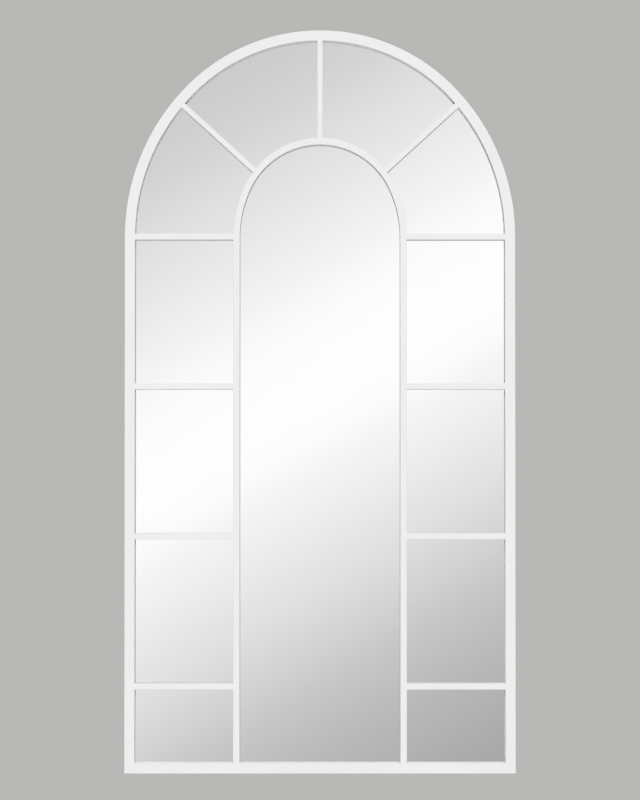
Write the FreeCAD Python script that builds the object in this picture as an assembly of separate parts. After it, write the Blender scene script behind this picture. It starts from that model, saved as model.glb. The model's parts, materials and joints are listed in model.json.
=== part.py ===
"""An arched, window-style wall mirror: welded steel tube with glazing bars in front of one mirror sheet.

Millimetres, +Z up, +X to the viewer's right, front towards -Y. The origin lies midway between the
two hanging keyholes, in the plane of the frame's rear face.
"""
import FreeCAD, Part
import math
import os

Vector = FreeCAD.Vector

# Outline of the outer frame
WIDTH = 950.0
SPRING_HEIGHT = 1305.0        # from the bottom edge to the springing line, where the arch begins
ARCH_RISE = 503.5             # from the springing line to the top
ARCH_BLEND = 45.0             # degrees above level where the side curve runs into the crown curve

# Outer frame tube, whose depth follows from what it houses
FRAME_FACE = 25.0
FRAME_WALL = 1.5
FRAME_EASE = 0.8              # flat along each outside corner, which stands for the rolled radius

# Glazing bars, flush with the front of the outer frame
INNER_WIDTH = 422.0           # over the inner frame
INNER_RISE_SHARE = 0.478      # rise of the inner arch, as a share of the outer arch's
INNER_BLEND = 26.0
INNER_FACE = 16.0
RUNG_FACE = 15.0
RUNG_COUNT = 4                # on each side, from the springing line down
LOWEST_RUNG_RISE = 211.0      # from the bottom edge to the middle of the lowest rung
SPOKE_FACE = 13.0
SPOKE_ANGLE = 42.4            # degrees above level of the two slanting spokes
SPOKE_HUB_RISE = 16.0         # height above the springing line of the point that the spokes aim at
BAR_DEPTH = 15.0
BAR_WALL = 1.2
BAR_EASE = 0.6
COPE_LAND = 0.1               # a shaped bar end stops this far short of its neighbour's front face

# Glazing, from the bars backwards
TAPE_THICKNESS = 1.0
TAPE_INSET = 2.0              # each side of a tape, behind the edge of its bar
TAPE_GAP = 0.5                # where the end of one tape meets the side of another
GLASS_THICKNESS = 4.0
GLASS_CLEARANCE = 1.5         # at the sides and the arch
SEAL_DEPTH = 1.5              # silicone in the gap round the glass, flush with its face
BLOCK_THICKNESS = 2.0         # setting blocks that carry the glass, behind the seal
BLOCK_LENGTH = 60.0
BOARD_THICKNESS = 5.0
BOARD_CLEARANCE = 0.5

# Hanging keyholes in the rear walls of the two stiles
KEYHOLE_DROP = 75.0           # below the springing line
KEYHOLE_RADIUS = 5.0
KEYHOLE_SLOT = 5.0
KEYHOLE_SLOT_RISE = 12.0

# Turn buttons that hold the backing board, and their screws
STILE_BUTTONS = 3             # on each stile
ARCH_BUTTONS = 3
RAIL_BUTTONS = 2
BUTTON_THICKNESS = 1.2
BUTTON_WIDTH = 13.0
BUTTON_REACH = 30.0           # from the pivot to the tip
BUTTON_HEEL = 6.5             # from the pivot to the other end
BUTTON_CLIP = 3.5             # cut off each corner
BUTTON_LIP = 7.0              # length of the tip that is bent up to be gripped
BUTTON_LIP_ANGLE = 18.0
BUTTON_GAP = 0.3              # under and over the button, and round its pivot
SCREW_RADIUS = 1.75
SCREW_BITE = 9.0              # length inside the frame
SCREW_HOLE_FIT = 0.05
SCREW_HEAD_FLATS = 5.5        # across the flats of the hexagon
SCREW_HEAD_HEIGHT = 2.4

# Rubber bumpers that keep the back off the wall
BUMPER_RADIUS = 6.0
BUMPER_TOP_RADIUS = 4.5
BUMPER_HEIGHT = 5.0
BUMPER_RISE = 60.0            # of the lower pair, above the bottom edge

# Places that follow from the sizes above
FRAME_DEPTH = BAR_DEPTH + TAPE_THICKNESS + GLASS_THICKNESS + BOARD_THICKNESS
BACK = 0.0
FRONT = BACK - FRAME_DEPTH
BAR_BACK = FRONT + BAR_DEPTH
GLASS_FRONT = BAR_BACK + TAPE_THICKNESS
GLASS_BACK = GLASS_FRONT + GLASS_THICKNESS
SPRING_Z = KEYHOLE_DROP
BOTTOM_Z = SPRING_Z - SPRING_HEIGHT
SILL_Z = BOTTOM_Z + FRAME_FACE
STILE_X = (WIDTH - FRAME_FACE) / 2
UPRIGHT_X = (INNER_WIDTH - INNER_FACE) / 2
RAIL_Z = BOTTOM_Z + FRAME_FACE / 2
RUNG_PITCH = (SPRING_HEIGHT - LOWEST_RUNG_RISE) / (RUNG_COUNT - 1)
INNER_RISE = ARCH_RISE * INNER_RISE_SHARE
BUTTON_SEAT = BACK + BUTTON_GAP
HEAD_SEAT = BUTTON_SEAT + BUTTON_THICKNESS + BUTTON_GAP
OVERSHOOT = FRAME_DEPTH       # how far a cutting solid runs past what it cuts

ORIGIN = Vector(0, 0, 0)
ALONG_X = Vector(1, 0, 0)
BACKWARDS = Vector(0, 1, 0)
TURN_AXIS = Vector(0, -1, 0)  # turning about it takes +X up towards +Z


class Arch:
    """A three-centred arch on the springing line: two side curves that run into a crown curve."""

    def __init__(self, half_span, rise, blend):
        across = math.cos(math.radians(blend))
        up = math.sin(math.radians(blend))
        share = 1 - across - up
        self.half_span = half_span
        self.rise = rise
        self.blend = blend
        self.side_radius = (half_span * (1 - up) - rise * across) / share
        self.crown_radius = (rise * (1 - across) - half_span * up) / share
        self.side_x = half_span - self.side_radius
        self.crown_z = SPRING_Z + rise - self.crown_radius

    def inset(self, distance):
        """The parallel arch that lies this far inside."""
        return Arch(self.half_span - distance, self.rise - distance, self.blend)

    def point(self, angle):
        """The point of the arch whose outward direction is this many degrees above +X."""
        across = math.cos(math.radians(angle))
        up = math.sin(math.radians(angle))
        if angle < self.blend:
            return Vector(self.side_x + self.side_radius * across, 0, SPRING_Z + self.side_radius * up)
        if angle > 180 - self.blend:
            return Vector(self.side_radius * across - self.side_x, 0, SPRING_Z + self.side_radius * up)
        return Vector(self.crown_radius * across, 0, self.crown_z + self.crown_radius * up)

    def slab(self, bottom, front, back):
        """An arched plate with straight sides down to the bottom, from front to back."""
        foot_left = Vector(-self.half_span, 0, bottom)
        foot_right = Vector(self.half_span, 0, bottom)
        right, right_middle, right_top = [self.point(self.blend * share) for share in (0, 0.5, 1)]
        left_top, left_middle, left = [self.point(180 - self.blend * share) for share in (1, 0.5, 0)]
        edges = [
            Part.LineSegment(foot_left, foot_right),
            Part.LineSegment(foot_right, right),
            Part.Arc(right, right_middle, right_top),
            Part.Arc(right_top, self.point(90), left_top),
            Part.Arc(left_top, left_middle, left),
            Part.LineSegment(left, foot_left),
        ]
        face = Part.Face(Part.Wire([edge.toShape() for edge in edges]))
        face.translate(Vector(0, front, 0))
        return face.extrude(Vector(0, back - front, 0))

    def tube(self, profile):
        """A section bent round this arch, which is the tube's centre line."""
        right = bent_tube(profile, Vector(self.side_x, 0, SPRING_Z), self.side_radius, 0, self.blend)
        crown_sweep = 180 - 2 * self.blend
        crown_centre = Vector(0, 0, self.crown_z)
        crown = bent_tube(profile, crown_centre, self.crown_radius, self.blend, crown_sweep)
        left = right.mirror(ORIGIN, ALONG_X)
        return right.fuse([crown, left]).removeSplitter()


# Sections, tubes and other plain forms

def outline_section(face, depth, ease):
    """The filled outline of a box section that starts at the front plane."""
    half = face / 2
    back = FRONT + depth
    right = [(half - ease, FRONT), (half, FRONT + ease), (half, back - ease), (half - ease, back)]
    left = [(-x, y) for x, y in reversed(right)]
    points = [Vector(x, y, 0) for x, y in right + left]
    return Part.Face(Part.makePolygon(points + points[:1]))


def hollow_section(face, depth, ease, wall):
    """A box section with its bore."""
    bore_corner = Vector(wall - face / 2, FRONT + wall, 0)
    bore = Part.makePlane(face - 2 * wall, depth - 2 * wall, bore_corner)
    return outline_section(face, depth, ease).cut(bore).Faces[0]


def straight_tube(profile, start, angle, length):
    """A section carried from a point in a direction, given in degrees above +X."""
    tube = profile.extrude(Vector(0, 0, length))
    tube.rotate(ORIGIN, TURN_AXIS, angle - 90)
    tube.translate(start)
    return tube


def bent_tube(profile, centre, radius, start, sweep):
    """A section carried round a circle, from the start angle through the sweep."""
    tube = profile.translated(Vector(radius, 0, 0)).revolve(ORIGIN, TURN_AXIS, sweep)
    tube.rotate(ORIGIN, TURN_AXIS, start)
    tube.translate(centre)
    return tube


def peg(point, radius, front, back):
    """A round bar along Y through a point."""
    return Part.makeCylinder(radius, back - front, Vector(point.x, front, point.z), BACKWARDS)


# Arches and sections that several pieces share

OUTER = Arch(WIDTH / 2, ARCH_RISE, ARCH_BLEND)
INNER = Arch(INNER_WIDTH / 2, INNER_RISE, INNER_BLEND)
FRAME_CENTRE = OUTER.inset(FRAME_FACE / 2)
INNER_CENTRE = INNER.inset(INNER_FACE / 2)
GLASS_EDGE = OUTER.inset(FRAME_FACE + GLASS_CLEARANCE)
FRAME_SHAPE = (FRAME_FACE, FRAME_DEPTH, FRAME_EASE)
INNER_SHAPE = (INNER_FACE, BAR_DEPTH, BAR_EASE)


def button_stations():
    """Pivot points and inward directions, clockwise from the foot of the left stile."""
    heights = [BOTTOM_Z + SPRING_HEIGHT * (step + 0.5) / STILE_BUTTONS for step in range(STILE_BUTTONS)]
    arch_angles = [180 - 180 * (step + 0.5) / ARCH_BUTTONS for step in range(ARCH_BUTTONS)]
    rail_step = WIDTH / RAIL_BUTTONS
    rail_places = [WIDTH / 2 - rail_step * (step + 0.5) for step in range(RAIL_BUTTONS)]
    stations = [(Vector(-STILE_X, 0, height), 0) for height in heights]
    stations += [(FRAME_CENTRE.point(angle), angle + 180) for angle in arch_angles]
    stations += [(Vector(STILE_X, 0, height), 180) for height in reversed(heights)]
    stations += [(Vector(place, 0, RAIL_Z), 90) for place in rail_places]
    return stations


STATIONS = button_stations()


# Outer frame

def mitre_half(side, above):
    """The space on one side of a bottom corner's mitre; side is -1 at the left and 1 at the right."""
    reach = FRAME_FACE + OVERSHOOT
    outside = Vector(side * (WIDTH / 2 + OVERSHOOT), FRONT - OVERSHOOT, BOTTOM_Z - OVERSHOOT)
    inside = Vector(side * (WIDTH / 2 - reach), FRONT - OVERSHOOT, BOTTOM_Z + reach)
    corner = Vector(outside.x, outside.y, inside.z) if above else Vector(inside.x, inside.y, outside.z)
    triangle = Part.Face(Part.makePolygon([outside, inside, corner, outside]))
    return triangle.extrude(Vector(0, FRAME_DEPTH + 2 * OVERSHOOT, 0))


def stile(side, profile):
    tube = straight_tube(profile, Vector(side * STILE_X, 0, BOTTOM_Z), 90, SPRING_HEIGHT)
    return tube.cut(mitre_half(side, above=False))


def bottom_rail(profile):
    tube = straight_tube(profile, Vector(-WIDTH / 2, 0, RAIL_Z), 0, WIDTH)
    return tube.cut([mitre_half(-1, above=True), mitre_half(1, above=True)])


def keyhole(x):
    """The cut for one hanging keyhole: a round entry with a slot above it."""
    front = BACK - 2 * FRAME_WALL
    back = BACK + FRAME_WALL
    entry = peg(Vector(x, 0, 0), KEYHOLE_RADIUS, front, back)
    slot_corner = Vector(x - KEYHOLE_SLOT / 2, front, 0)
    slot = Part.makeBox(KEYHOLE_SLOT, back - front, KEYHOLE_SLOT_RISE, slot_corner)
    top = peg(Vector(x, 0, KEYHOLE_SLOT_RISE), KEYHOLE_SLOT / 2, front, back)
    return entry.fuse([slot, top])


def outer_frame():
    profile = hollow_section(*FRAME_SHAPE, FRAME_WALL)
    hole_radius = SCREW_RADIUS + SCREW_HOLE_FIT
    holes = [peg(point, hole_radius, BACK - 2 * FRAME_WALL, BACK + FRAME_WALL) for point, _ in STATIONS]
    return {
        "outer_arch": FRAME_CENTRE.tube(profile).cut(holes),
        "left_stile": stile(-1, profile).cut(holes + [keyhole(-STILE_X)]),
        "right_stile": stile(1, profile).cut(holes + [keyhole(STILE_X)]),
        "bottom_rail": bottom_rail(profile).cut(holes),
    }


# Glazing bars

def bar_lines():
    """Name, starting point, direction and face width of every rung and spoke, from inside outwards."""
    lines = []
    for step in range(RUNG_COUNT):
        height = SPRING_Z - step * RUNG_PITCH
        lines.append((f"left_rung_{step + 1}", Vector(0, 0, height), 180, RUNG_FACE))
        lines.append((f"right_rung_{step + 1}", Vector(0, 0, height), 0, RUNG_FACE))
    hub = Vector(0, 0, SPRING_Z + SPOKE_HUB_RISE)
    lines.append(("left_spoke", hub, 180 - SPOKE_ANGLE, SPOKE_FACE))
    lines.append(("centre_spoke", hub, 90, SPOKE_FACE))
    lines.append(("right_spoke", hub, SPOKE_ANGLE, SPOKE_FACE))
    return lines


BAR_LENGTH = WIDTH / 2 + ARCH_RISE    # long enough to cross the outer frame from any starting point


def inner_frame():
    profile = hollow_section(*INNER_SHAPE, BAR_WALL)
    pieces = {"inner_arch": INNER_CENTRE.tube(profile)}
    sill = bottom_rail(outline_section(*FRAME_SHAPE))
    foot = SILL_Z - FRAME_EASE + COPE_LAND
    for name, side in (("inner_left_upright", -1), ("inner_right_upright", 1)):
        tube = straight_tube(profile, Vector(side * UPRIGHT_X, 0, foot), 90, SPRING_Z - foot)
        pieces[name] = tube.cut(sill)
    return pieces


def rungs_and_spokes():
    """Bars whose ends are shaped to the eased corners of the tubes that they are welded to."""
    frame_outline = outline_section(*FRAME_SHAPE)
    inner_outline = outline_section(*INNER_SHAPE)
    neighbours = [FRAME_CENTRE.tube(frame_outline), INNER_CENTRE.tube(inner_outline)]
    neighbours += [stile(side, frame_outline) for side in (-1, 1)]
    for side in (-1, 1):
        foot = Vector(side * UPRIGHT_X, 0, BOTTOM_Z)
        neighbours.append(straight_tube(inner_outline, foot, 90, SPRING_HEIGHT))
    within = OUTER.inset(FRAME_FACE - FRAME_EASE + COPE_LAND)
    around = INNER.inset(BAR_EASE - COPE_LAND)
    reach = within.slab(BOTTOM_Z, FRONT - OVERSHOOT, BACK + OVERSHOOT)
    middle = around.slab(BOTTOM_Z - OVERSHOOT, FRONT - OVERSHOOT, BACK + OVERSHOOT)
    pieces = {}
    for name, start, angle, face in bar_lines():
        profile = hollow_section(face, BAR_DEPTH, BAR_EASE, BAR_WALL)
        bar = straight_tube(profile, start, angle, BAR_LENGTH)
        pieces[name] = bar.common(reach).cut([middle] + neighbours)
    return pieces


# Glazing

def strip(start, angle, face):
    """A length of glazing tape behind one bar."""
    tape = Part.makeBox(BAR_LENGTH, TAPE_THICKNESS, face, Vector(0, BAR_BACK, -face / 2))
    tape.rotate(ORIGIN, TURN_AXIS, angle)
    tape.translate(start)
    return tape


def glazing_tapes():
    tape_outer = INNER.inset(TAPE_INSET)
    tape_inner = INNER.inset(INNER_FACE - TAPE_INSET)
    whole = tape_outer.slab(SILL_Z, BAR_BACK, GLASS_FRONT)
    inner_tape = whole.cut(tape_inner.slab(SILL_Z - OVERSHOOT, BAR_BACK - OVERSHOOT, BACK))
    reach = GLASS_EDGE.slab(BOTTOM_Z, BAR_BACK, GLASS_FRONT)
    middle = tape_outer.inset(-TAPE_GAP).slab(BOTTOM_Z - OVERSHOOT, BAR_BACK - OVERSHOOT, BACK)
    strips = {"rung": [], "spoke": []}
    for name, start, angle, face in bar_lines():
        kind = "rung" if "rung" in name else "spoke"
        tape = strip(start, angle, face - 2 * TAPE_INSET)
        strips[kind].append(tape.common(reach).cut(middle))
    return {
        "inner_frame_tape": inner_tape,
        "rung_tapes": Part.makeCompound(strips["rung"]),
        "spoke_tapes": Part.makeCompound(strips["spoke"]),
    }


def setting_blocks():
    front = GLASS_FRONT + SEAL_DEPTH
    corner = Vector(-BLOCK_LENGTH / 2, front, SILL_Z)
    block = Part.makeBox(BLOCK_LENGTH, GLASS_BACK - front, BLOCK_THICKNESS, corner)
    return Part.makeCompound([block.translated(Vector(side * WIDTH / 4, 0, 0)) for side in (-1, 1)])


def glass_and_board():
    glass_foot = SILL_Z + BLOCK_THICKNESS
    seal_back = GLASS_FRONT + SEAL_DEPTH
    opening = OUTER.inset(FRAME_FACE).slab(SILL_Z, GLASS_FRONT, seal_back)
    board_edge = OUTER.inset(FRAME_FACE + BOARD_CLEARANCE)
    return {
        "mirror_glass": GLASS_EDGE.slab(glass_foot, GLASS_FRONT, GLASS_BACK),
        "edge_seal": opening.cut(GLASS_EDGE.slab(glass_foot, GLASS_FRONT - OVERSHOOT, BACK)),
        "setting_blocks": setting_blocks(),
        "backing_board": board_edge.slab(SILL_Z + BOARD_CLEARANCE, GLASS_BACK, BACK),
    }


# Turn buttons, screws and bumpers

def turn_button():
    """A pressed strap that points along +X from its pivot at the origin."""
    half = BUTTON_WIDTH / 2
    shoulder = half - BUTTON_CLIP
    top = [
        Vector(BUTTON_REACH, 0, shoulder),
        Vector(BUTTON_REACH - BUTTON_CLIP, 0, half),
        Vector(BUTTON_CLIP - BUTTON_HEEL, 0, half),
        Vector(-BUTTON_HEEL, 0, shoulder),
    ]
    foot = [Vector(point.x, 0, -point.z) for point in reversed(top)]
    plan = Part.Face(Part.makePolygon(top + foot + top[:1]))
    lip_rise = BUTTON_LIP * math.tan(math.radians(BUTTON_LIP_ANGLE))
    blank = plan.extrude(Vector(0, HEAD_SEAT + lip_rise, 0))
    lower = [
        Vector(-BUTTON_HEEL, BUTTON_SEAT, -half),
        Vector(BUTTON_REACH - BUTTON_LIP, BUTTON_SEAT, -half),
        Vector(BUTTON_REACH, BUTTON_SEAT + lip_rise, -half),
    ]
    upper = [point + Vector(0, BUTTON_THICKNESS, 0) for point in reversed(lower)]
    side_view = Part.Face(Part.makePolygon(lower + upper + lower[:1]))
    pressing = side_view.extrude(Vector(0, 0, BUTTON_WIDTH))
    return pressing.common(blank).cut(peg(ORIGIN, SCREW_RADIUS + BUTTON_GAP, BACK, HEAD_SEAT))


def screw(point):
    """A hexagon-head screw through a button into the frame's rear wall."""
    shank = peg(point, SCREW_RADIUS, BACK - SCREW_BITE, HEAD_SEAT)
    corner_radius = SCREW_HEAD_FLATS / 2 / math.cos(math.pi / 6)
    corners = []
    for step in range(6):
        angle = step * math.pi / 3
        across = Vector(math.cos(angle), 0, math.sin(angle)) * corner_radius
        corners.append(point + across + BACKWARDS * HEAD_SEAT)
    hexagon = Part.Face(Part.makePolygon(corners + corners[:1]))
    return shank.fuse(hexagon.extrude(BACKWARDS * SCREW_HEAD_HEIGHT))


def bumper(point):
    """A round pad on the rear face that narrows to its top."""
    return Part.makeCone(BUMPER_RADIUS, BUMPER_TOP_RADIUS, BUMPER_HEIGHT, point + BACKWARDS * BACK, BACKWARDS)


def back_fittings():
    pieces = {}
    for number, (point, inward) in enumerate(STATIONS, 1):
        button = turn_button()
        button.rotate(ORIGIN, TURN_AXIS, inward)
        button.translate(point)
        pieces[f"turn_button_{number:02d}"] = button
    pieces["turn_button_screws"] = Part.makeCompound([screw(point) for point, _ in STATIONS])
    places = [Vector(side * STILE_X, 0, BOTTOM_Z + BUMPER_RISE) for side in (-1, 1)]
    places += [FRAME_CENTRE.point(angle) for angle in (ARCH_BLEND, 180 - ARCH_BLEND)]
    pieces["wall_bumpers"] = Part.makeCompound([bumper(place) for place in places])
    return pieces


# Build every piece and write it out

def main():
    os.makedirs("parts", exist_ok=True)
    pieces = {}
    for group in (outer_frame, inner_frame, rungs_and_spokes, glazing_tapes, glass_and_board, back_fittings):
        pieces.update(group())
    for name, shape in pieces.items():
        shape.exportStep(f"parts/{name}.step")
        print(name, len(shape.Solids), "solid(s)", "valid" if shape.isValid() else "NOT VALID",
              round(shape.Volume), "mm3")


main()
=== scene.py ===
"""Looks of an arched, window-style wall mirror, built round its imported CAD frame.

Metres, in the frame of the CAD part: +Z up, +X to the viewer's right, front towards -Y.
"""
import json
import math

import bmesh
import bpy
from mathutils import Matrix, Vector

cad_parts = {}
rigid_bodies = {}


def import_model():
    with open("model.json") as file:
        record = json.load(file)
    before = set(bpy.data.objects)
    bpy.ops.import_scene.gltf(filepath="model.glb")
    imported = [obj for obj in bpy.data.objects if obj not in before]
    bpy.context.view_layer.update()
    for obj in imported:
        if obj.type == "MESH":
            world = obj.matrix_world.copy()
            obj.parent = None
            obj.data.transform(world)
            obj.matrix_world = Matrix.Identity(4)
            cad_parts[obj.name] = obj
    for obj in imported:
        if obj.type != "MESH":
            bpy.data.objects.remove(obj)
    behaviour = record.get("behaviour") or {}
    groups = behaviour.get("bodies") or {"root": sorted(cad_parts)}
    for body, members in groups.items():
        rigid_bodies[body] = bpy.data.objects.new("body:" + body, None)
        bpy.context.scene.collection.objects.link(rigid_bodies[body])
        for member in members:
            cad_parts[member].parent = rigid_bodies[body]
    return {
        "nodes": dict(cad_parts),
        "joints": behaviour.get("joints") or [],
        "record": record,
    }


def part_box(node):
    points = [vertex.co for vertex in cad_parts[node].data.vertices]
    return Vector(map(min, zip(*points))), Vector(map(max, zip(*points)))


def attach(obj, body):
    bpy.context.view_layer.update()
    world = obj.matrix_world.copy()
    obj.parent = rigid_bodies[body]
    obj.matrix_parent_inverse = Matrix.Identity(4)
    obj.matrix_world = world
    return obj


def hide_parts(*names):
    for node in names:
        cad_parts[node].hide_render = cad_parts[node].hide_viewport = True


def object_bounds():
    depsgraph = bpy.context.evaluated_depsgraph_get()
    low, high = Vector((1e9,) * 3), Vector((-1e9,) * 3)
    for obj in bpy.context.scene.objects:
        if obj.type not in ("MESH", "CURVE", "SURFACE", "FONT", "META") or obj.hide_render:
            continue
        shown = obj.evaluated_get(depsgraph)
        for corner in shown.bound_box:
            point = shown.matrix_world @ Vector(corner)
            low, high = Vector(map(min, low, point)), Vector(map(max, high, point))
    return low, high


for leftover in list(bpy.data.objects):
    bpy.data.objects.remove(leftover)

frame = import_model()
cad_low, cad_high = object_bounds()
nodes = frame["nodes"]

# Camera, at the photograph's viewing angle
VIEW_DISTANCE = 5.5            # from the front of the mirror
EYE_RISE = 0.737               # above the mirror's bottom edge
PITCH = 0.86                   # degrees upwards
FOCAL_LENGTH = 101.8           # millimetres, on Blender's 36 mm sensor
FRAMING_RISE = 0.0449          # share of the picture's height by which the window is moved up

# Background and floor
BACKGROUND = (0.48, 0.477, 0.465)
AMBIENT = 0.22
FLOOR_COLOUR = (0.426, 0.424, 0.413)
FLOOR_GRAIN = 1.02             # how much paler its grain is
FLOOR_DROP = 0.30              # below the mirror's bottom edge
FLOOR_RADIUS = 1.5
FLOOR_FADE = 0.5               # share of the way to its rim from which the floor fades out
FLOOR_STEPS = 64

# Lamps, each by the direction that its light comes from
KEY_FROM = (0.0, -0.64, 0.77)
KEY_STRENGTH = 2.64
FILL_FROM = (0.0, -0.6, -0.8)  # stands for the light that a floor throws back
FILL_STRENGTH = 1.5
RIM_FROM = (0.84, 0.5, 0.2)    # and the same from the other side
RIM_STRENGTH = 2.05
LAMP_SPREAD = 40.0             # degrees; a broad lamp has soft shadows

# Light card, which is what the mirror shows
CARD_BEHIND = 3.5              # the card stands this far behind the camera
CARD_WIDTH = 44.0
CARD_HEIGHT = 32.0
CARD_FADE = 0.75               # share of the way to its rim from which the card fades into the background
CARD_SLOPE = 0.6               # how far the card's bright bands lean
CARD_STRENGTH = 1.04
# Brightness across the card's bands, by the tangent of the angle at which the mirror shows it
CARD_BAND = [
    # Two bands that only slanting views show
    (-1.7, 0.4), (-1.35, 0.88), (-1.05, 0.42), (-0.78, 0.91),
    # The one that the front view shows
    (-0.5, 0.365), (-0.17, 0.40), (-0.085, 0.62), (0, 0.915), (0.045, 0.99),
    (0.09, 0.90), (0.165, 0.68), (0.24, 0.54), (0.5, 0.385),
    # Two more for slanting views
    (0.8, 0.865), (1.1, 0.4), (1.4, 0.88), (1.7, 0.4),
]

# Colours, mostly as the two ends between which a finish varies
COAT = ((0.832, 0.831, 0.836), (0.852, 0.851, 0.856))
SILVER = ((0.957, 0.958, 0.957), (0.948, 0.95, 0.948))
GLASS_EDGE = (0.30, 0.46, 0.40)
FOAM = ((0.70, 0.70, 0.68), (0.80, 0.80, 0.78))
SEAL = ((0.78, 0.78, 0.77), (0.82, 0.82, 0.81))
BLACK = ((0.025, 0.025, 0.026), (0.04, 0.04, 0.041))
BOARD = ((0.43, 0.30, 0.18), (0.53, 0.385, 0.24))
BOARD_MOTTLE = (0.39, 0.27, 0.16)
BOARD_FIBRE = (0.34, 0.23, 0.135)
BOARD_SPECK = (0.20, 0.125, 0.07)
ZINC = ((0.60, 0.62, 0.64), (0.74, 0.755, 0.765))
SCREW_STEEL = ((0.52, 0.53, 0.55), (0.66, 0.67, 0.68))
BUMPER = ((0.70, 0.70, 0.67), (0.80, 0.80, 0.77))

# Small fittings on the back
HEAD_HEIGHT = 0.0024
HEAD_FLATS = 0.0055
HEAD_TOP_RADIUS = 0.0025
HEAD_CHAMFER = 30.0            # degrees from level
HEAD_CHAMFER_STEPS = 4
FLANGE_RADIUS = 0.0036
FLANGE_THICKNESS = 0.0005
FLANGE_EDGE = 0.97             # share of the radius at which the flange's rounded rim begins
SHANK_RADIUS = 0.00175
POINT_RADIUS = SHANK_RADIUS / 4
THREAD_DEPTH = 0.0004
THREAD_PITCH = 0.0013
BUMPER_RADIUS = 0.006
BUMPER_TIP_RADIUS = BUMPER_RADIUS / 50
BUMPER_FULLNESS = 3.0          # higher makes the dome squarer
BUMPER_STEPS = 12
TURN_STEPS = 48
CREASE_ANGLE = 35.0            # degrees; a sharper corner isn't shaded smooth


# Materials

def new_node(tree, kind, inputs=None, **settings):
    """Adds a shader node with its settings; each input gets a value, or a link from another node's output."""
    node = tree.nodes.new("ShaderNode" + kind)
    for name, value in settings.items():
        setattr(node, name, value)
    for name, value in (inputs or {}).items():
        if isinstance(value, bpy.types.NodeSocket):
            tree.links.new(value, node.inputs[name])
        else:
            node.inputs[name].default_value = value
    return node


def blank_material(name):
    material = bpy.data.materials.new(name)
    material.use_nodes = True
    return material


class Finish:
    """A material with one principled shader, and short ways to add its patterns."""

    def __init__(self, name):
        self.material = blank_material(name)
        self.tree = self.material.node_tree
        self.shader = self.tree.nodes["Principled BSDF"]
        self.place = new_node(self.tree, "TexCoord").outputs["Object"]

    def set(self, **values):
        """Uniform values, straight on the shader's own sockets."""
        for name, value in values.items():
            self.shader.inputs[name.replace("_", " ")].default_value = value

    def link(self, output, name):
        self.tree.links.new(output, self.shader.inputs[name])

    def noise(self, scale, detail, stretch=(1, 1, 1)):
        """Soft noise; the scale is in spots per metre."""
        mapping = new_node(self.tree, "Mapping", {"Vector": self.place, "Scale": stretch})
        inputs = {"Vector": mapping.outputs["Vector"], "Scale": scale, "Detail": detail}
        return new_node(self.tree, "TexNoise", inputs).outputs["Fac"]

    def between(self, pattern, low, high, start=0.3, end=0.7):
        """Values from low to high as the pattern goes from start to end."""
        inputs = {"Value": pattern, "From Min": start, "From Max": end, "To Min": low, "To Max": high}
        return new_node(self.tree, "MapRange", inputs).outputs["Result"]

    def colours(self, pattern, ends, start=0.3, end=0.7):
        """From the first colour to the second as the pattern goes from start to end."""
        ramp = new_node(self.tree, "ValToRGB", {"Fac": pattern})
        for element, place, colour in zip(ramp.color_ramp.elements, (start, end), ends):
            element.position = place
            element.color = (*colour, 1)
        return ramp.outputs["Color"]

    def mixed(self, mask, first, second):
        """The first colour where the mask is 0, and the second where it is 1."""
        node = new_node(self.tree, "Mix", {"Factor": mask}, data_type="RGBA")
        for name, value in (("A", first), ("B", second)):
            socket = next(s for s in node.inputs if s.name == name and s.type == "RGBA")
            if isinstance(value, tuple):
                socket.default_value = (*value, 1)
            else:
                self.tree.links.new(value, socket)
        return next(s for s in node.outputs if s.type == "RGBA")

    def bump(self, height, strength, distance):
        node = new_node(self.tree, "Bump", {"Height": height, "Strength": strength, "Distance": distance})
        self.link(node.outputs["Normal"], "Normal")


def white_powder_coat():
    finish = Finish("white_powder_coat")
    cloud = finish.noise(scale=5, detail=3)
    finish.link(finish.colours(cloud, COAT), "Base Color")
    finish.link(finish.between(finish.noise(scale=60, detail=2), low=0.5, high=0.6), "Roughness")
    finish.set(Specular_IOR_Level=0.3)
    finish.bump(finish.noise(scale=320, detail=1), strength=0.5, distance=0.00003)
    return finish.material


def silvered_glass():
    """Bright silver on the faces and the green of float glass on the narrow edges."""
    finish = Finish("silvered_glass")
    normal = new_node(finish.tree, "NewGeometry").outputs["Normal"]
    parts = new_node(finish.tree, "SeparateXYZ", {"Vector": normal})
    facing = new_node(finish.tree, "Math", {0: parts.outputs["Y"]}, operation="ABSOLUTE")
    face = finish.between(facing.outputs["Value"], low=0, high=1, start=0.8, end=0.9)
    smudge = finish.noise(scale=2.5, detail=6, stretch=(1, 1, 0.6))
    silver = finish.colours(smudge, SILVER, start=0.35, end=0.75)
    finish.link(finish.mixed(face, GLASS_EDGE, silver), "Base Color")
    finish.link(face, "Metallic")
    finish.link(finish.between(smudge, low=0.012, high=0.022), "Roughness")
    return finish.material


def white_foam_tape():
    finish = Finish("white_foam_tape")
    pores = finish.noise(scale=2500, detail=3)
    finish.link(finish.colours(pores, FOAM), "Base Color")
    finish.set(Roughness=0.85)
    finish.bump(pores, strength=0.3, distance=0.0003)
    return finish.material


def white_seal():
    finish = Finish("white_seal")
    waves = finish.noise(scale=70, detail=2)
    finish.link(finish.colours(waves, SEAL), "Base Color")
    finish.set(Roughness=0.38)
    finish.bump(waves, strength=0.15, distance=0.0004)
    return finish.material


def black_rubber():
    finish = Finish("black_rubber")
    grain = finish.noise(scale=1200, detail=3)
    finish.link(finish.colours(grain, BLACK), "Base Color")
    finish.set(Roughness=0.7)
    finish.bump(grain, strength=0.2, distance=0.0002)
    return finish.material


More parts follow.
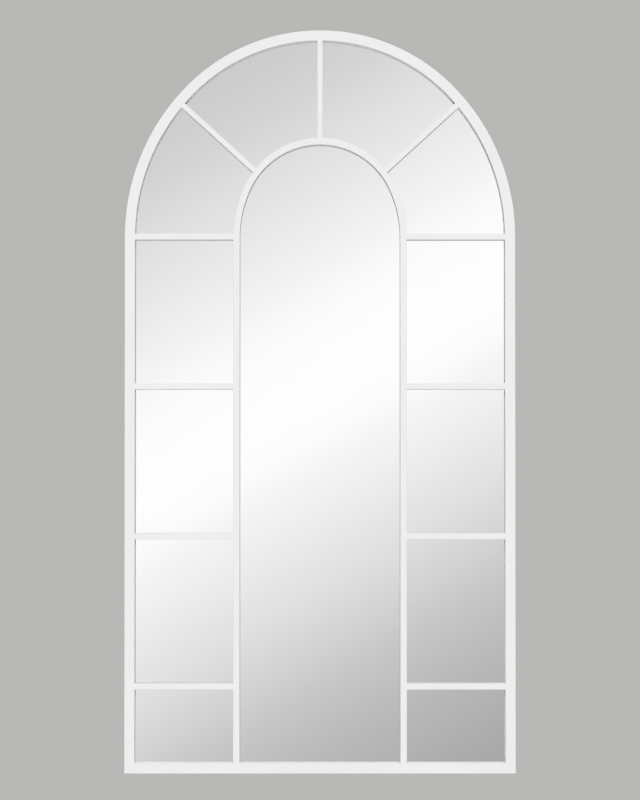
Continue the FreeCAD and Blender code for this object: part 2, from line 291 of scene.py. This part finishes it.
def fibreboard():
    """Raw fibreboard: a fine felt of short fibres with darker bark specks, mottled and broadly clouded."""
    finish = Finish("fibreboard")
    cloud = finish.noise(scale=7, detail=5)
    mottle = finish.noise(scale=60, detail=4)
    fibres = finish.noise(scale=1400, detail=3, stretch=(1, 1, 0.4))
    specks = finish.noise(scale=420, detail=6)
    pale = finish.colours(cloud, BOARD)
    mottled = finish.mixed(finish.between(mottle, low=0, high=0.45), pale, BOARD_MOTTLE)
    felt = finish.mixed(finish.between(fibres, low=0, high=0.5), mottled, BOARD_FIBRE)
    sparse = finish.between(specks, low=0, high=0.7, start=0.67, end=0.73)
    finish.link(finish.mixed(sparse, felt, BOARD_SPECK), "Base Color")
    finish.link(finish.between(fibres, low=0.68, high=0.82), "Roughness")
    finish.bump(fibres, strength=0.2, distance=0.0001)
    return finish.material


def plated(name, ends, smooth, rough):
    """Bright zinc plate: a cloudy tone, fine rolling lines and a rubbed, uneven gloss."""
    finish = Finish(name)
    cloud = finish.noise(scale=130, detail=4)
    rolled = finish.noise(scale=1100, detail=3, stretch=(1, 1, 0.06))
    finish.link(finish.colours(cloud, ends), "Base Color")
    finish.link(finish.between(rolled, smooth, rough), "Roughness")
    finish.set(Metallic=1.0)
    finish.bump(rolled, strength=0.06, distance=0.00005)
    return finish.material


def clear_rubber():
    finish = Finish("clear_rubber")
    haze = finish.noise(scale=500, detail=3)
    finish.link(finish.colours(haze, BUMPER), "Base Color")
    finish.link(finish.between(haze, low=0.22, high=0.32), "Roughness")
    finish.set(Transmission_Weight=0.55, IOR=1.45)
    return finish.material


MATERIALS = {
    "white_powder_coat": white_powder_coat(),
    "silvered_glass": silvered_glass(),
    "white_foam_tape": white_foam_tape(),
    "white_seal": white_seal(),
    "black_rubber": black_rubber(),
    "fibreboard": fibreboard(),
    "zinc_plate": plated("zinc_plate", ZINC, smooth=0.26, rough=0.42),
    "screw_steel": plated("screw_steel", SCREW_STEEL, smooth=0.22, rough=0.36),
    "clear_rubber": clear_rubber(),
}

for subpart in frame["record"]["subparts"]:
    mesh = nodes[subpart["node"]].data
    mesh.materials.clear()
    mesh.materials.append(MATERIALS[subpart["material_slot"]])


# Turned fittings

def add_turned(shape, centre, rings):
    """Adds a closed form turned about the Y axis; a ring is a height and a radius, or its radius by angle."""
    rows = []
    for height, radius in rings:
        row = []
        for step in range(TURN_STEPS):
            angle = 2 * math.pi * step / TURN_STEPS
            reach = radius(angle) if callable(radius) else radius
            row.append(shape.verts.new((
                centre.x + reach * math.cos(angle),
                height,
                centre.z + reach * math.sin(angle),
            )))
        rows.append(row)
    for low, high in zip(rows, rows[1:]):
        for step in range(TURN_STEPS):
            following = (step + 1) % TURN_STEPS
            shape.faces.new((low[step], high[step], high[following], low[following]))
    shape.faces.new(rows[0])
    shape.faces.new(reversed(rows[-1]))


def finished_piece(name, shape, node, slot):
    """Turns a form into a piece that stands for a CAD node of the frame body."""
    mesh = bpy.data.meshes.new(name)
    bmesh.ops.recalc_face_normals(shape, faces=shape.faces)
    shape.to_mesh(mesh)
    shape.free()
    mesh.materials.append(MATERIALS[slot])
    mesh.shade_smooth()
    mesh.set_sharp_from_angle(angle=math.radians(CREASE_ANGLE))
    piece = bpy.data.objects.new(name, mesh)
    bpy.context.scene.collection.objects.link(piece)
    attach(piece, "frame")
    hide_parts(node)


def hexagon(angle):
    """The hexagon head's reach in one direction."""
    sector = math.pi / 3
    return HEAD_FLATS / 2 / math.cos(angle % sector - sector / 2)


def chamfered(limit):
    """The hexagon where the cone that chamfers it has this radius."""
    return lambda angle: min(hexagon(angle), limit)


def screw_rings(tip, top):
    """The rings of a threaded screw with a flange and a chamfered hexagon head, from its tip to its top."""
    seat = top - HEAD_HEIGHT
    root_radius = SHANK_RADIUS - THREAD_DEPTH
    height = tip + THREAD_PITCH
    rings = [(tip, POINT_RADIUS), (height, root_radius)]
    while height + THREAD_PITCH < seat:
        rings.append((height + THREAD_PITCH / 2, SHANK_RADIUS))
        rings.append((height + THREAD_PITCH, root_radius))
        height += THREAD_PITCH
    flange_top = seat + FLANGE_THICKNESS
    rings.append((seat, root_radius))
    rings.append((seat, FLANGE_RADIUS * FLANGE_EDGE))
    rings.append((seat + FLANGE_THICKNESS / 2, FLANGE_RADIUS))
    rings.append((flange_top, FLANGE_RADIUS * FLANGE_EDGE))
    rings.append((flange_top, hexagon))
    corner = hexagon(0)
    chamfer = (corner - HEAD_TOP_RADIUS) * math.tan(math.radians(HEAD_CHAMFER))
    for step in range(HEAD_CHAMFER_STEPS + 1):
        share = step / HEAD_CHAMFER_STEPS
        limit = corner + (HEAD_TOP_RADIUS - corner) * share
        rings.append((top - chamfer * (1 - share), chamfered(limit)))
    return rings


def turn_button_screws():
    low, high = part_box("turn_button_screws")
    shape = bmesh.new()
    rings = screw_rings(low.y, high.y)
    for joint in frame["joints"]:
        add_turned(shape, Vector(joint["pos_m"]), rings)
    finished_piece("hexagon_screws", shape, "turn_button_screws", "screw_steel")


def bumper_centres():
    """One centre for each quarter of the back, from the CAD pads themselves."""
    quarters = {}
    for vertex in nodes["wall_bumpers"].data.vertices:
        quarters.setdefault((vertex.co.x > 0, vertex.co.z > 0), []).append(vertex.co)
    for points in quarters.values():
        across = [point.x for point in points]
        up = [point.z for point in points]
        yield Vector(((min(across) + max(across)) / 2, 0, (min(up) + max(up)) / 2))


def wall_bumpers():
    low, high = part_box("wall_bumpers")
    height = high.y - low.y
    shape = bmesh.new()
    rings = []
    for step in range(BUMPER_STEPS):
        lift = math.sin(math.pi / 2 * step / BUMPER_STEPS)
        radius = BUMPER_RADIUS * (1 - lift ** BUMPER_FULLNESS) ** (1 / BUMPER_FULLNESS)
        rings.append((low.y + height * lift, radius))
    rings.append((high.y, BUMPER_TIP_RADIUS))
    for centre in bumper_centres():
        add_turned(shape, centre, rings)
    finished_piece("domed_bumpers", shape, "wall_bumpers", "clear_rubber")


turn_button_screws()
wall_bumpers()


# Stage

def stage_mesh(name, corners, material):
    mesh = bpy.data.meshes.new(name)
    mesh.from_pydata(corners, [], [range(len(corners))])
    mesh.materials.append(material)
    sheet = bpy.data.objects.new(name, mesh)
    bpy.context.scene.collection.objects.link(sheet)
    return sheet


def floor_finish():
    """A pale matt floor that fades out towards its rim."""
    finish = Finish("floor")
    paler = tuple(value * FLOOR_GRAIN for value in FLOOR_COLOUR)
    finish.link(finish.colours(finish.noise(scale=30, detail=4), (FLOOR_COLOUR, paler)), "Base Color")
    finish.set(Roughness=0.8, Specular_IOR_Level=0.2)
    reach = new_node(finish.tree, "VectorMath", {0: finish.place}, operation="LENGTH")
    fade_start = FLOOR_RADIUS * FLOOR_FADE
    fade = finish.between(reach.outputs["Value"], low=1, high=0, start=fade_start, end=FLOOR_RADIUS)
    finish.link(fade, "Alpha")
    return finish.material


def floor():
    """A disc that shows the mirror's shadow; the fill lamp shines through it and stands for its bounce."""
    rim = []
    for step in range(FLOOR_STEPS):
        angle = 2 * math.pi * step / FLOOR_STEPS
        rim.append((FLOOR_RADIUS * math.cos(angle), FLOOR_RADIUS * math.sin(angle), 0))
    sheet = stage_mesh("floor", rim, floor_finish())
    sheet.location.z = cad_low.z - FLOOR_DROP
    sheet.visible_shadow = False
    sheet.visible_diffuse = False


def seen_directly(tree):
    """1 for what is seen straight on, in mirrors or through glass, and 0 for what lights a matt surface."""
    rays = new_node(tree, "LightPath").outputs

    def calculated(operation, first, second):
        return new_node(tree, "Math", {0: first, 1: second}, operation=operation).outputs["Value"]

    seen = rays["Is Camera Ray"]
    for kind in ("Is Glossy Ray", "Is Transmission Ray"):
        seen = calculated("MAXIMUM", seen, rays[kind])
    not_matt = calculated("LESS_THAN", rays["Diffuse Depth"], 1)
    return calculated("MULTIPLY", seen, not_matt)


def band_colours(tree, place):
    """The card's slanting bands, by the place on the card."""
    path = 2 * VIEW_DISTANCE + CARD_BEHIND
    lean = (-CARD_SLOPE / path, 0, 1 / path)
    across = new_node(tree, "VectorMath", {0: place, 1: lean}, operation="DOT_PRODUCT")
    first, last = CARD_BAND[0][0], CARD_BAND[-1][0]
    span = new_node(tree, "MapRange", {"Value": across.outputs["Value"], "From Min": first, "From Max": last})
    node = new_node(tree, "ValToRGB", {"Fac": span.outputs["Result"]})
    ramp = node.color_ramp
    ramp.interpolation = "CARDINAL"
    while len(ramp.elements) < len(CARD_BAND):
        ramp.elements.new(0.5)
    for element, (tangent, level) in zip(ramp.elements, CARD_BAND):
        element.position = (tangent - first) / (last - first)
        element.color = (level, level, level, 1)
    return node.outputs["Color"]


def rim_fade(tree, place):
    """0 on most of the card, and 1 at its oval rim."""
    halves = (2 / CARD_WIDTH, 0, 2 / CARD_HEIGHT)
    share = new_node(tree, "VectorMath", {0: place, 1: halves}, operation="MULTIPLY")
    reach = new_node(tree, "VectorMath", {0: share.outputs["Vector"]}, operation="LENGTH")
    inputs = {"Value": reach.outputs["Value"], "From Min": CARD_FADE}
    return new_node(tree, "MapRange", inputs, interpolation_type="SMOOTHSTEP").outputs["Result"]


def mixed_shader(tree, mask, first, second):
    """The first shader where the mask is 0, and the second where it is 1."""
    return new_node(tree, "MixShader", {"Fac": mask, 1: first.outputs[0], 2: second.outputs[0]})


def card_finish():
    """Slanting bands of light for the mirror to show; a matt surface gets plain ambient light from it."""
    material = blank_material("light_card")
    material.cycles.emission_sampling = "NONE"
    tree = material.node_tree
    tree.nodes.clear()
    place = new_node(tree, "TexCoord").outputs["Object"]
    bands = new_node(tree, "Emission", {"Color": band_colours(tree, place), "Strength": CARD_STRENGTH})
    surround = new_node(tree, "Emission", {"Color": (*BACKGROUND, 1)})
    ambient = new_node(tree, "Emission", {"Strength": AMBIENT})
    shown = mixed_shader(tree, rim_fade(tree, place), bands, surround)
    light = mixed_shader(tree, seen_directly(tree), ambient, shown)
    new_node(tree, "OutputMaterial", {"Surface": light.outputs[0]})
    return material


def light_card(eye):
    """A broad soft light behind the camera, for the mirror to show."""
    half_width = CARD_WIDTH / 2
    half_height = CARD_HEIGHT / 2
    corners = [(x, 0, z) for x, z in (
        (-half_width, -half_height),
        (half_width, -half_height),
        (half_width, half_height),
        (-half_width, half_height),
    )]
    card = stage_mesh("light_card", corners, card_finish())
    card.location = eye - Vector((0, CARD_BEHIND, 0))
    card.visible_camera = False
    card.visible_shadow = False


def soft_lamp(name, source, strength):
    """A broad, far lamp, so that all of the mirror is lit alike."""
    lamp = bpy.data.lights.new(name, "SUN")
    lamp.angle = math.radians(LAMP_SPREAD)
    lamp.energy = strength
    holder = bpy.data.objects.new(name, lamp)
    holder.rotation_euler = Vector(source).to_track_quat("Z", "Y").to_euler()
    holder.visible_camera = False
    bpy.context.scene.collection.objects.link(holder)
    return holder


def lamps():
    """A key and a fill in front, kept out of the mirror, and a rim lamp from behind each side."""
    soft_lamp("key_light", KEY_FROM, KEY_STRENGTH).visible_glossy = False
    soft_lamp("fill_light", FILL_FROM, FILL_STRENGTH).visible_glossy = False
    across, back, up = RIM_FROM
    soft_lamp("right_rim_light", (across, back, up), RIM_STRENGTH)
    soft_lamp("left_rim_light", (-across, back, up), RIM_STRENGTH)


def world():
    """A plain background for what is seen directly, and a dimmer ambient light for matt surfaces."""
    surroundings = bpy.data.worlds.new("studio")
    bpy.context.scene.world = surroundings
    surroundings.use_nodes = True
    surroundings.cycles.sampling_method = "NONE"
    tree = surroundings.node_tree
    tree.nodes.clear()
    ambient = new_node(tree, "Background", {"Color": (1, 1, 1, 1), "Strength": AMBIENT})
    background = new_node(tree, "Background", {"Color": (*BACKGROUND, 1)})
    light = mixed_shader(tree, seen_directly(tree), ambient, background)
    new_node(tree, "OutputWorld", {"Surface": light.outputs[0]})


def camera():
    lens = bpy.data.cameras.new("camera")
    lens.lens = FOCAL_LENGTH
    lens.shift_y = FRAMING_RISE
    holder = bpy.data.objects.new("camera", lens)
    holder.location = (0, cad_low.y - VIEW_DISTANCE, cad_low.z + EYE_RISE)
    holder.rotation_euler = (math.radians(90 + PITCH), 0, 0)
    bpy.context.scene.collection.objects.link(holder)
    bpy.context.scene.camera = holder
    return holder


world()
floor()
light_card(camera().location)
lamps()
bpy.context.scene.view_settings.view_transform = "Standard"
